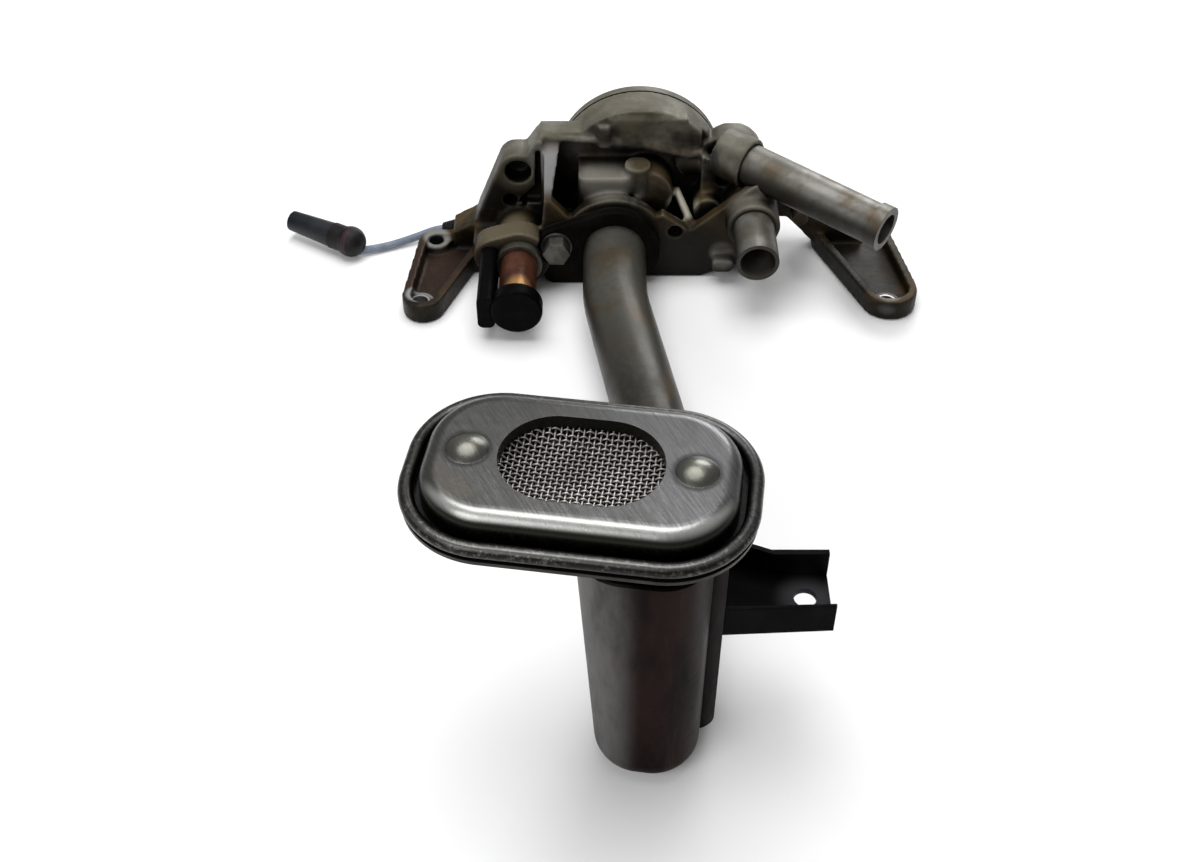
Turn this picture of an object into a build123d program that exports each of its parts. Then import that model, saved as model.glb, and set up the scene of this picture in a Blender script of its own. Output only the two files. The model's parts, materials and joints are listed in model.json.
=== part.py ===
from build123d import *
import os
from math import atan2, cos, pi, radians, sin, tan

# Engine oil pump with its pickup, lying on its mounting feet with the sump side up.
# Millimetres. +Z points to the sump, -Y to the pickup, +X to the outlet pipe.
# The origin is midway between the two foot holes, in the plane that bolts to the engine.

# Fits
RUN_GAP = 0.05
SEAT_GAP = 0.3
FACE_GAP = 0.06

# Mounting feet
FOOT_SPAN = 193.0
FOOT_HOLE_R = 3.3
FOOT_BOSS_R = 6.2
FOOT_PAD_T = 5.0
SLEEVE_WALL = 1.0
ARM_FLOOR = 3.5
ARM_RIB_H = 9.0
ARM_RIB_W = 3.6
LEFT_ARM = ((1.5, 0.0, 8.6), (5.0, 36.0, 8.5), (16.5, 36.0, 8.0))
LEFT_ARM_REAR = 44.5
RIGHT_ARM = ((-1.5, 5.0, 11.5), (6.0, 46.0, 12.0), (13.5, 46.0, 13.0))
RIGHT_ARM_REAR = 52.0
LOCATOR_IN = 4.0
LOCATOR_Y = 39.5
LOCATOR_HOLE_R = 3.0
LOCATOR_PAD_R = 6.0

# Rotor case
CASE_X = -5.5
CASE_Z = 35.0
CASE_R = 34.5
CASE_WALL = 9.5
LIP_Y = 42.0
WALL_Y = 46.5
FLOOR_Y = 49.5
JOINT_Y = 57.5
COVER_T = 3.5
BROW_T = 2.0
BROW_H = 2.4

# Rotor set
INNER_LOBES = 6
ECCENTRICITY = 2.2
PIN_R = 6.5
PIN_BACK = 2.0
TIP_GAP = 0.08
ROOT_GAP = 0.12
PROFILE_ARC_COUNT = 12
OUTER_ROTOR_R = CASE_R - CASE_WALL
PIN_CIRCLE_R = OUTER_ROTOR_R - PIN_BACK
DRIVE_X = CASE_X + ECCENTRICITY
DRIVE_Z = CASE_Z
PORT_DEPTH = 2.0
PORT_INNER_R = 12.5
PORT_OUTER_R = 18.5
PORT_SPAN = 140.0

# Shaft and bushes
SHAFT_R = 7.0
BUSH_WALL = 1.5
BEARING_BOSS_R = 11.5
SHAFT_FRONT_Y = 35.0
REAR_BOSS_L = 5.0

# Chain sprocket
SPROCKET_TEETH = 18
CHAIN_PITCH = 8.0
ROLLER_R = 2.55
SPROCKET_T = 5.0
SPROCKET_HUB_R = 12.0
SPROCKET_GAP = 2.0
SPROCKET_BOLT_R = 4.0
SPROCKET_Y = JOINT_Y + COVER_T + REAR_BOSS_L + SPROCKET_GAP
SHAFT_END_Y = SPROCKET_Y + SPROCKET_T

# Cover bolts, countersunk, in the middle of the case wall
COVER_BOLTS = 6
COVER_BOLT_R = 2.0
COVER_BOLT_HEAD_R = 3.8
COVER_BOLT_KEY = 1.25
COVER_BOLT_L = 14.0
COVER_BOLT_PCR = CASE_R - CASE_WALL / 2

# Suction side
PIPE_R = 13.0
PIPE_WALL = 1.5
PIPE_X = -16.0
PIPE_Z = 17.0
FLANGE_Y = 18.0
FLANGE_T = 4.0
FLANGE_GROUND = 0.5
FLANGE_BOLT_OUT = 24.0
FLANGE_BOLT_UP = 3.0
FLANGE_BOLT_L = 16.0
FLANGE_SCREW_R = 3.0
FLANGE_HEAD_AF = 10.0
FLANGE_HEAD_H = 6.5
FLANGE_WASHER_R = 6.5
FLANGE_EYE_R = 7.5
FLANGE_COLLAR = 6.0
FLANGE_FOOT_X = -41.5
GASKET_T = 1.0
GALLERY_X = -19.5
GALLERY_Y = 36.0
GALLERY_W = 23.0
GALLERY_D = 13.0
GALLERY_TOP = 45.0
GALLERY_BORE_R = 4.5
GALLERY_ROOF = 3.0
COLUMN_X = -6.5
COLUMN_R = 5.5
COLUMN_TOP = 49.0

# Front wall of the casting
FRONT_Y = FLANGE_Y + FLANGE_T + GASKET_T
FRONT_T = 5.0
ARCH_R = 22.0
SHOULDER_Z = 59.5
SHOULDER_X = -47.0
LOBE_X = -56.0
LOBE_Z = 42.5
LOBE_R = 8.5
LOBE_WALL = 3.0
LOBE_Y = 38.0
LOBE_REAR_Y = 51.0
HEEL_X = -67.5
HEEL_Z = 18.0
HEEL_R = 7.0
POCKET_DEPTH = 9.0
BOLT_HOLE_R = 3.0

# Outlet pipe and return stub
OUTLET_R = 8.5
OUTLET_WALL = 2.2
OUTLET_ROOT = (45.5, 31.5, 47.5)
OUTLET_DIR = (0.796, -0.600, -0.071)
OUTLET_L = 57.0
OUTLET_SEAT_L = 21.0
OUTLET_BOSS_L = 14.0
OUTLET_BOSS_WALL = 2.0
DUCT_START = (12.0, 49.4, 41.0)
DUCT_R = 6.5
DUCT_BORE_R = 3.5
STUB_R = 8.6
STUB_WALL = 1.6
STUB_STEP = 0.6
STUB_X = 41.0
STUB_Z = 30.0
STUB_END_Y = -7.0
STUB_FACE_Y = 16.0
STUB_SEAT_Y = 36.0
STUB_BOSS_WALL = 2.4

# Control valve
VALVE_X = -55.5
VALVE_Z = 15.0
VALVE_BOSS_R = 13.0
VALVE_BACK_R = 10.2
VALVE_FRONT_Y = 15.0
VALVE_STEP_Y = 25.0
PISTON_R = 6.0
PISTON_L = 13.0
VALVE_BORE_END_Y = 48.0
SPRING_COILS = 5
SPRING_R = 4.2
SPRING_WIRE = 0.55
CAN_R = 7.6
CAN_L = 30.0
CAN_WALL = 1.0
COLLAR_R = 9.6
COLLAR_T = 4.0
CAP_R = 10.5
CAP_L = 6.0
PLUNGER_R = 3.0
PLUNGER_L = 14.0

# Strainer
STRAINER_X = -27.0
STRAINER_Y = -199.5
STRAINER_TURN = -8.3
STRAINER_TOP = 112.0
RIM_HX = 49.6
RIM_HY = 31.1
RIM_CORNER = 26.0
BEAD_R = 2.2
RIM_DROP = 8.0
PAN_INSET = 6.0
PAN_ROUND = 5.0
SHEET = 1.2
GROOVE_DROP = 11.0
BASE_DEPTH = 9.0
WINDOW_HX = 22.9
WINDOW_HY = 16.3
DIMPLE_PITCH = 62.8
DIMPLE_R = 6.0
DIMPLE_H = 2.2
SCREEN_DROP = 4.0
SCREEN_PITCH = 1.62
SCREEN_WIRE = 0.6
RIM_Z = STRAINER_TOP - RIM_DROP
GROOVE_Z = STRAINER_TOP - GROOVE_DROP
RISER_TOP_Z = GROOVE_Z - BASE_DEPTH

# Riser
RISER_X = 21.5
RISER_Y = -4.0
RISER_TOP_X = 19.0
RISER_W = 32.0
RISER_TOP_W = 38.5
RISER_D = 44.0
RISER_CORNER = 14.5
RISER_FOOT = 9.0
RISER_WALL = 1.2
RISER_LEDGE = 4.0

# Support bracket
BRACKET_Z = 45.0
BRACKET_Y = -193.5
BRACKET_W = 22.0
BRACKET_H = 11.5
BRACKET_SHEET = 2.0
BRACKET_HOLE_X = 40.0
BRACKET_HOLE_R = 3.5
BRACKET_END_X = 47.5
BRACKET_FLARE = 9.0

# Solenoid lead
LEAD_R = 1.7
LEAD_ROUTE = (
    (-85.2, 48.5, 7.0),
    (-93.0, 49.8, 5.2),
    (-101.0, 47.8, 2.8),
    (-110.0, 43.8, 1.8),
    (-118.5, 40.2, 1.7),
    (-126.5, 37.4, 2.4),
)
PLUG_NOSE = (-158.0, 54.5)
PLUG_Z = 6.6
BOOT_R = 6.6
BOOT_L = 9.0
PLUG_R = 5.4
PLUG_NOSE_R = 4.4
PLUG_WALL = 1.4
PLUG_L = 22.0
GROMMET_R = 2.6
GROMMET_SEAT = 4.0
GROMMET_LIP = 0.8
GROMMET_L = 5.0


def slab(sketch, y0, y1):
    """Extrudes a sketch drawn in X and Z from y0 to y1."""
    return extrude(Plane.XZ.offset(-y1) * sketch, amount=y1 - y0, dir=(0, -1, 0))


def raised(sketch, z0, z1):
    """Extrudes a sketch drawn in X and Y from z0 to z1."""
    return extrude(Pos(0, 0, z0) * sketch, amount=z1 - z0, dir=(0, 0, 1))


def rib(sketch, x0, x1):
    """Extrudes a sketch drawn in Y and Z from x0 to x1."""
    return extrude(Plane.YZ.offset(x0) * sketch, amount=x1 - x0, dir=(1, 0, 0))


def rod(x, z, r, y0, y1):
    """A round bar along Y."""
    return slab(Pos(x, z) * Circle(r), y0, y1)


def upright(x, y, r, z0, z1):
    """A round bar along Z."""
    return raised(Pos(x, y) * Circle(r), z0, z1)


def along(point, direction):
    """A plane at a point whose normal is the direction."""
    return Plane(origin=point, z_dir=direction)


def left_foot():
    return -FOOT_SPAN / 2


def right_foot():
    return FOOT_SPAN / 2


def case_circle():
    return Pos(CASE_X, CASE_Z) * Circle(CASE_R)


def case_outline():
    """The round rotor case with the skirt that carries it down to the feet."""
    half = CASE_R - 1
    skirt = Polygon((-40, 0), (30, 0), (CASE_X + half, CASE_Z), (CASE_X - half, CASE_Z), align=None)
    return case_circle() + skirt


def brow_line(rise):
    """The roof's lower edge over the hollow, falling to the right, with everything above it up to the rise."""
    edge = [(SHOULDER_X, 56.5), (-21, 54.5), (-2, 52), (15, 47.5), (20, 49)]
    return Polygon(*edge, *[(x, z + rise) for x, z in reversed(edge)], align=None)


def left_lobe_outline():
    """The wall beside the hollow, the round lobe and the slope down to the left arm."""
    wall_z = SHOULDER_Z - 2
    wall = Polygon((-45.5, 0), (-45.5, wall_z), (SHOULDER_X - 1, wall_z), (-53, 50), (-53, 0), align=None)
    lobe = Pos(LOBE_X, LOBE_Z) * Circle(LOBE_R)
    heel = Pos(HEEL_X, HEEL_Z) * Circle(HEEL_R)
    slope = make_hull(lobe.edges() + heel.edges())
    reach = left_foot() + 11.5
    toe = Polygon(
        (HEEL_X, HEEL_Z + 4), (reach, 12), (reach, 6), (reach + 6, 0), (-50, 0), (-50, HEEL_Z),
        align=None,
    )
    return wall + slope + toe


def front_wall_outline():
    """The front wall: web foot, arch over the pipe, and the slanting rib up to the outlet."""
    plate = Polygon(
        (-46, 0), (-46, 28), (-45, 38), (-41.5, 38), (PIPE_X - 18, PIPE_Z + 12), (PIPE_X, PIPE_Z), (4, 32),
        (15.5, 23.5), (45, 49.5), (50, 45), (50, 16), (40, 8), (21, 0),
        align=None,
    )
    return plate + Pos(PIPE_X, PIPE_Z) * Circle(ARCH_R)


def arm_circles(circles, side):
    """The places of an arm's three circles, from their distances inward of the foot hole."""
    return [(side * (FOOT_SPAN / 2 - inward), y, r) for inward, y, r in circles]


def arm_outline(circles, inset):
    """The outline stretched round three circles, each given as x, y and radius."""
    rings = [Pos(x, y) * Circle(r - inset) for x, y, r in circles]
    return make_hull(rings[0].edges() + rings[1].edges() + rings[2].edges())


def arm(circles, rear_y):
    """A flat channel arm: a floor with a rib round its edge, cut off square at the rear."""
    outer = arm_outline(circles, 0)
    inner = arm_outline(circles, ARM_RIB_W)
    whole = raised(outer, 0, ARM_FLOOR) + raised(outer - inner, 0, ARM_RIB_H)
    return whole - Pos(circles[0][0], rear_y + CASE_R, 0) * Box(3 * CASE_R, 2 * CASE_R, 4 * ARM_RIB_H)


def port(turn):
    """One kidney port in the floor of the rotor pocket, on the side given by the turn."""
    ring = Circle(PORT_OUTER_R) - Circle(PORT_INNER_R)
    reach = 2 * PORT_OUTER_R
    half = radians(PORT_SPAN / 2)
    x = reach * cos(half)
    z = reach * sin(half)
    wedge = Polygon((0, 0), (x, -z), (reach, 0), (x, z), align=None)
    place = Pos(DRIVE_X, DRIVE_Z) * Rot(0, 0, turn)
    return slab(place * (ring & wedge), FLOOR_Y - PORT_DEPTH, FLOOR_Y)


def rotor_case():
    """The round case, its brow over the hollow, and the flat pad on the dome's front."""
    body = slab(case_outline(), WALL_Y, JOINT_Y)
    body += slab(case_circle() & brow_line(CASE_R), LIP_Y, WALL_Y)
    body += slab(brow_line(BROW_H), LIP_Y - BROW_T, WALL_Y)
    body += slab(Polygon((-18, 52), (-18, 66), (14, 66), (16, 49), align=None), LIP_Y - BROW_T / 2, WALL_Y)
    body += upright(-20, LIP_Y + 1, 3.8, 53, 63)
    roof = Polygon((SHOULDER_X, 56), (SHOULDER_X, SHOULDER_Z), (-10, SHOULDER_Z), (-10, 53.5), align=None)
    body += slab(roof, LIP_Y, WALL_Y)
    shoulder = Polygon((SHOULDER_X, 0), (SHOULDER_X, SHOULDER_Z), (-10, SHOULDER_Z), (-10, 0), align=None)
    return body + slab(shoulder, WALL_Y, LOBE_REAR_Y)


def left_lobe():
    """The lobe left of the dome, with its round pocket and the recess beside it."""
    lobe = slab(left_lobe_outline(), LOBE_Y, LOBE_REAR_Y)
    lobe -= rod(LOBE_X, LOBE_Z, LOBE_R - LOBE_WALL, LOBE_Y, LOBE_Y + POCKET_DEPTH)
    recess = Polygon((-46.5, 27), (-46.5, 53), (-48.5, 53), (-49, 36), (-55, 30), (-57, 27), align=None)
    lobe -= slab(recess, LOBE_Y, LOBE_Y + POCKET_DEPTH / 2)
    return lobe - rod(-59.7, 28.5, BOLT_HOLE_R, LOBE_Y, LOBE_REAR_Y - 2)


def hollow_block():
    """What stands in the hollow: the suction gallery, a column beside it and the bearing boss."""
    depth = WALL_Y - GALLERY_Y + GALLERY_D / 2
    gallery = Pos(GALLERY_X, WALL_Y - depth / 2) * RectangleRounded(GALLERY_W, depth, 3)
    body = raised(gallery, 1, GALLERY_TOP)
    body += upright(COLUMN_X, GALLERY_Y - 1, COLUMN_R, 1, COLUMN_TOP)
    return body + rod(DRIVE_X, DRIVE_Z, BEARING_BOSS_R, SHAFT_FRONT_Y - 3, WALL_Y + 1)


def front_wall():
    """The wall round the pipe socket, with the web and the side back to the case."""
    floor = Polygon((-45, 0), (-45, 18), (-2, 18), (10, 12), (44, 12), (40, 8), (21, 0), align=None)
    body = slab(floor, FRONT_Y, WALL_Y)
    socket = Pos(PIPE_X, PIPE_Z) * Circle(PIPE_R + 4) + Pos(PIPE_X, 10) * Rectangle(2 * PIPE_R + 8, 20)
    body += slab(socket, FRONT_Y, WALL_Y)
    body += slab(front_wall_outline(), FRONT_Y, FRONT_Y + FRONT_T)
    web = Polygon((FRONT_Y, 0), (FRONT_Y, 38), (LIP_Y, 57), (WALL_Y + 2, 57), (WALL_Y + 2, 0), align=None)
    taper = Polygon((-45, 0), (-45, 57), (-38, 57), (-42, 38), (-42, 0), align=None)
    body += rib(web, -46, -37) & slab(taper, FRONT_Y, WALL_Y + 2)
    side = Polygon((FRONT_Y, 0), (FRONT_Y, 42), (WALL_Y + 2, 44), (WALL_Y + 2, 0), align=None)
    body += rib(side, 38, 43)

    # The stop pin, the ledge behind it and the lug beside the stub
    body += extrude(along((16.3, 27, 24), (-5.4, 9, 8.5)) * Circle(1.8), amount=17)
    body += rod(23, 27, 6, 32, WALL_Y)
    body += slab(Pos(29.5, 9.5) * RectangleRounded(9, 6, 2), STUB_FACE_Y + 1, FRONT_Y)
    return body - rod(9.3, 23, BOLT_HOLE_R, FRONT_Y - 3, FRONT_Y + FRONT_T + 2)


def outlet_lobe():
    """The lobe right of the dome, its duct, and the bosses of the outlet pipe and the stub."""
    body = slab(Pos(33, 44.5) * Circle(12.5), 40, 54)
    body += slab(Polygon((20, 10), (20, 50), (50, 42), (50, 16), (36, 0), (20, 0), align=None), 38, 54)
    seat = Vector(*OUTLET_ROOT) - outlet_way() * OUTLET_SEAT_L
    body += extrude(along(seat, outlet_way()) * Circle(OUTLET_R + OUTLET_BOSS_WALL), amount=OUTLET_BOSS_L)
    body += rod(STUB_X, STUB_Z, STUB_R + STUB_BOSS_WALL, STUB_FACE_Y, 42)
    duct = seat - Vector(*DUCT_START)
    body += extrude(along(DUCT_START, duct) * Circle(DUCT_R), amount=duct.length)
    body += rod(28.5, 48, 4, 35, 42)
    body += rod(62, 24.5, 3.6, 30, 44)
    return body - rod(29, 38.5, BOLT_HOLE_R, 35, 50) - rod(24, 52, BOLT_HOLE_R, 38, 44)


def valve_boss():
    """The boss that takes the control valve, widened to carry its connector."""
    round_boss = Pos(VALVE_X, VALVE_Z) * Circle(VALVE_BOSS_R)
    wing = Pos(VALVE_X - 10, VALVE_Z + 1) * Circle(VALVE_BOSS_R - 4)
    body = slab(make_hull(round_boss.edges() + wing.edges()), VALVE_FRONT_Y, VALVE_STEP_Y)
    body += slab(Pos(VALVE_X - 8, 8) * Rectangle(24, 16), VALVE_STEP_Y, LOBE_Y)
    return body + rod(VALVE_X, VALVE_Z, VALVE_BACK_R, VALVE_STEP_Y, 50)


def arms():
    """Both channel arms with their feet, and the stem of the right one."""
    body = arm(arm_circles(LEFT_ARM, -1), LEFT_ARM_REAR) + arm(arm_circles(RIGHT_ARM, 1), RIGHT_ARM_REAR)
    for x in (left_foot(), right_foot()):
        body += upright(x, 0, FOOT_BOSS_R, 0, FOOT_PAD_T)
    body += upright(left_foot() + LOCATOR_IN, LOCATOR_Y, LOCATOR_PAD_R, 0, FOOT_PAD_T + 2)
    reach = right_foot() - 5
    stem = Polygon((40, 18), (40, 36), (60, 31), (reach, 9), (reach, 0), (reach - 18, 0), (58, 17), align=None)
    return body + slab(stem, 42, 52)


def bores(body):
    """Cuts every seat and passage out of the housing."""
    seat = Vector(*OUTLET_ROOT) - outlet_way() * OUTLET_SEAT_L
    duct = seat - Vector(*DUCT_START)
    body -= rod(CASE_X, CASE_Z, OUTER_ROTOR_R + RUN_GAP, FLOOR_Y, JOINT_Y)
    body -= rod(DRIVE_X, DRIVE_Z, SHAFT_R + BUSH_WALL, SHAFT_FRONT_Y, FLOOR_Y)
    body = body - port(0) - port(180)
    body -= rod(PIPE_X, PIPE_Z, PIPE_R - PIPE_WALL, FRONT_Y, GALLERY_Y + GALLERY_BORE_R)
    body -= upright(GALLERY_X, GALLERY_Y, GALLERY_BORE_R, PIPE_Z, GALLERY_TOP - GALLERY_ROOF)
    body -= rod(GALLERY_X, CASE_Z, GALLERY_BORE_R, GALLERY_Y, FLOOR_Y)
    body -= extrude(along(DUCT_START, duct) * Circle(DUCT_BORE_R), amount=duct.length + 1)
    body -= extrude(along(seat, outlet_way()) * Circle(OUTLET_R), amount=OUTLET_SEAT_L + OUTLET_L)
    body -= rod(STUB_X, STUB_Z, STUB_R - STUB_STEP, STUB_FACE_Y, STUB_SEAT_Y)
    body -= rod(VALVE_X, VALVE_Z, PISTON_R + RUN_GAP, VALVE_FRONT_Y, VALVE_BORE_END_Y)
    for x in (left_foot(), right_foot()):
        body -= upright(x, 0, FOOT_HOLE_R + SLEEVE_WALL, 0, FOOT_PAD_T)
    body -= upright(left_foot() + LOCATOR_IN, LOCATOR_Y, LOCATOR_HOLE_R, 0, FOOT_PAD_T + 2)
    for x, z in cover_bolt_places():
        body -= rod(x, z, COVER_BOLT_R, JOINT_Y - COVER_BOLT_L + COVER_T, JOINT_Y)
    x, z = flange_bolt_place()
    body -= rod(x, z, FLANGE_SCREW_R, FRONT_Y, FLANGE_Y + FLANGE_BOLT_L + 2)
    body -= rod(x, z, FLANGE_EYE_R + SEAT_GAP, FLANGE_Y - 2 * FLANGE_HEAD_H, FRONT_Y)
    body -= slab(offset(flange_blank(), SEAT_GAP), FLANGE_Y, FRONT_Y)
    lead_seat = along(lead_exit() - lead_way() * GROMMET_SEAT, lead_way())
    body -= extrude(lead_seat * Circle(GROMMET_R), amount=2 * GROMMET_SEAT)
    body -= extrude(along(lead_exit(), lead_way()) * Circle(GROMMET_R + GROMMET_LIP), amount=GROMMET_SEAT)
    return body - raised(Rectangle(3 * FOOT_SPAN, FOOT_SPAN), -CASE_R, 0)


def housing():
    rear = rotor_case() + left_lobe() + outlet_lobe()
    return bores(rear + hollow_block() + front_wall() + valve_boss() + arms())


def outer_rotor():
    ring = Circle(OUTER_ROTOR_R)
    cavity = Circle(PIN_CIRCLE_R - PIN_R + 2 * ECCENTRICITY + ROOT_GAP)
    for place in PolarLocations(PIN_CIRCLE_R, INNER_LOBES + 1):
        cavity -= place * Circle(PIN_R)
    return slab(Pos(CASE_X, CASE_Z) * (ring - cavity), FLOOR_Y + FACE_GAP, JOINT_Y - FACE_GAP)


def inner_profile():
    """The inner rotor's outline, swept out by the outer rotor's round teeth."""
    teeth = INNER_LOBES + 1
    cutter = PIN_R + TIP_GAP
    points = []
    steps = 2 * PROFILE_ARC_COUNT * INNER_LOBES
    for k in range(steps + 1):
        t = 2 * pi * k / steps
        lean = atan2(sin(-INNER_LOBES * t), PIN_CIRCLE_R / (ECCENTRICITY * teeth) - cos(-INNER_LOBES * t))
        x = PIN_CIRCLE_R * cos(t) - cutter * cos(t + lean) - ECCENTRICITY * cos(teeth * t)
        y = PIN_CIRCLE_R * sin(t) - cutter * sin(t + lean) - ECCENTRICITY * sin(teeth * t)
        points.append((x, y))
    points[-1] = points[0]
    return make_face([ThreePointArc(*points[k:k + 3]) for k in range(0, steps, 2)])


def inner_rotor():
    profile = inner_profile() - Circle(SHAFT_R)
    return slab(Pos(DRIVE_X, DRIVE_Z) * profile, FLOOR_Y + FACE_GAP, JOINT_Y - FACE_GAP)


def pump_cover():
    cover = rod(CASE_X, CASE_Z, CASE_R, JOINT_Y, JOINT_Y + COVER_T)
    cover += rod(DRIVE_X, DRIVE_Z, BEARING_BOSS_R, JOINT_Y, JOINT_Y + COVER_T + REAR_BOSS_L)
    cover -= rod(DRIVE_X, DRIVE_Z, SHAFT_R + BUSH_WALL, JOINT_Y, JOINT_Y + COVER_T + REAR_BOSS_L)
    for x, z in cover_bolt_places():
        cover -= rod(x, z, COVER_BOLT_R + SEAT_GAP, JOINT_Y, JOINT_Y + COVER_T)
        cover -= countersink(x, z, RUN_GAP)
    return cover


def countersink(x, z, gap):
    """The cone of a countersunk head, flush with the cover's outer face."""
    face = Plane.XZ.offset(-(JOINT_Y + COVER_T)) * Pos(x, z) * Circle(COVER_BOLT_HEAD_R + gap)
    depth = COVER_BOLT_HEAD_R - COVER_BOLT_R
    small = Plane.XZ.offset(-(JOINT_Y + COVER_T - depth)) * Pos(x, z) * Circle(COVER_BOLT_R + gap)
    return loft([small, face])


def cover_bolt_places():
    ring = PolarLocations(COVER_BOLT_PCR, COVER_BOLTS, start_angle=30)
    return [(CASE_X + place.position.X, CASE_Z + place.position.Y) for place in ring]


def cover_bolts():
    bolts = []
    for x, z in cover_bolt_places():
        head_y = JOINT_Y + COVER_T
        bolt = rod(x, z, COVER_BOLT_R, head_y - COVER_BOLT_L, head_y) + countersink(x, z, 0)
        key = Pos(x, z) * RegularPolygon(COVER_BOLT_KEY, 6, major_radius=False)
        bolts.append(bolt - slab(key, head_y - 2, head_y))
    return Compound(children=bolts)


def bush(y0, y1):
    ring = Circle(SHAFT_R + BUSH_WALL) - Circle(SHAFT_R + RUN_GAP)
    return slab(Pos(DRIVE_X, DRIVE_Z) * ring, y0, y1)


def drive_shaft():
    shaft = rod(DRIVE_X, DRIVE_Z, SHAFT_R, SHAFT_FRONT_Y + SEAT_GAP, SHAFT_END_Y)
    shaft -= rod(DRIVE_X, DRIVE_Z, SPROCKET_BOLT_R, SHAFT_END_Y - 16, SHAFT_END_Y)
    return shaft


def drive_sprocket():
    pitch_r = CHAIN_PITCH / 2 / sin(pi / SPROCKET_TEETH)
    tip_r = pitch_r + 1.6
    blank = Circle(tip_r) - Circle(SHAFT_R)
    reach = tip_r - pitch_r + 1
    gap = Circle(ROLLER_R)
    flare = ROLLER_R + 1.3
    gap += Polygon((0, -ROLLER_R), (reach, -flare), (reach, flare), (0, ROLLER_R), align=None)
    for place in PolarLocations(pitch_r, SPROCKET_TEETH):
        blank -= place * gap
    for place in PolarLocations((SPROCKET_HUB_R + pitch_r) / 2 - 1, 5):
        blank -= place * Circle(3.2)
    wheel = slab(Pos(DRIVE_X, DRIVE_Z) * blank, SPROCKET_Y, SPROCKET_Y + SPROCKET_T)
    hub = Circle(SPROCKET_HUB_R) - Circle(SHAFT_R)
    return wheel + slab(Pos(DRIVE_X, DRIVE_Z) * hub, SPROCKET_Y - SPROCKET_GAP + SEAT_GAP, SPROCKET_Y)


def sprocket_bolt():
    end = SHAFT_END_Y
    bolt = rod(DRIVE_X, DRIVE_Z, SPROCKET_BOLT_R, end - 14, end)
    bolt += rod(DRIVE_X, DRIVE_Z, 10, end, end + 2)
    return bolt + slab(Pos(DRIVE_X, DRIVE_Z) * RegularPolygon(6.5, 6, major_radius=False), end, end + 8)


def pipe_flange():
    """The plate with one eared bolt that is brazed to the pickup pipe."""
    return slab(flange_outline(), FLANGE_Y, FLANGE_Y + FLANGE_T)


def flange_blank():
    """The flange's outline without its holes, cut off level above the mounting plane."""
    collar = Pos(PIPE_X, PIPE_Z) * Circle(PIPE_R + FLANGE_COLLAR)
    ear = Pos(*flange_bolt_place()) * Circle(FLANGE_EYE_R)
    toe = Pos(FLANGE_FOOT_X, 4) * Circle(3.5)
    blank = make_hull(collar.edges() + ear.edges() + toe.edges())
    return blank & Pos(PIPE_X, FLANGE_GROUND + CASE_R) * Rectangle(4 * CASE_R, 2 * CASE_R)


def flange_outline():
    plate = flange_blank() - Pos(PIPE_X, PIPE_Z) * Circle(PIPE_R)
    return plate - Pos(*flange_bolt_place()) * Circle(FLANGE_SCREW_R + SEAT_GAP)


def flange_bolt_place():
    return (PIPE_X - FLANGE_BOLT_OUT, PIPE_Z + FLANGE_BOLT_UP)


def flange_gasket():
    return slab(flange_outline(), FLANGE_Y + FLANGE_T, FRONT_Y)


def flange_bolt():
    x, z = flange_bolt_place()
    hexagon = RegularPolygon(FLANGE_HEAD_AF / 2, 6, major_radius=False)
    head = slab(Pos(x, z) * hexagon, FLANGE_Y - FLANGE_HEAD_H, FLANGE_Y)
    washer = rod(x, z, FLANGE_WASHER_R, FLANGE_Y - 1.2, FLANGE_Y)
    return head + washer + rod(x, z, FLANGE_SCREW_R, FLANGE_Y, FLANGE_Y + FLANGE_BOLT_L)


def strainer_place():
    return Pos(STRAINER_X, STRAINER_Y) * Rot(0, 0, STRAINER_TURN)


def pickup_path():
    """The pipe's centre line, level, from the pump's flange to the back of the riser."""
    back = (strainer_place() * Pos(RISER_X, RISER_Y + RISER_D / 2)).position
    inward = Vector(0, -1).rotate(Axis.Z, STRAINER_TURN)
    route = [Vector(PIPE_X, FRONT_Y), Vector(PIPE_X, -14), Vector(4.3, -127), back + inward * 8]
    return FilletPolyline(*[Vector(q.X, q.Y, PIPE_Z) for q in route], radius=90)


def pickup_pipe():
    path = pickup_path()
    start = Plane(origin=path @ 0, z_dir=path % 0)
    outer = sweep(start * Circle(PIPE_R), path=path)
    return outer - sweep(start * Circle(PIPE_R - PIPE_WALL), path=path)


def rounded(inset):
    """The strainer's outline, drawn in from its outer edge by the inset."""
    return RectangleRounded(2 * (RIM_HX - inset), 2 * (RIM_HY - inset), RIM_CORNER - inset)


def bead(inset, radius, z):
    """A round bead that follows the strainer's outline."""
    path = rounded(inset + radius).wire()
    path = path.moved(Pos(0, 0, z))
    start = Plane(origin=path @ 0, z_dir=path % 0)
    return sweep(start * Circle(radius), path=path)


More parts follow.
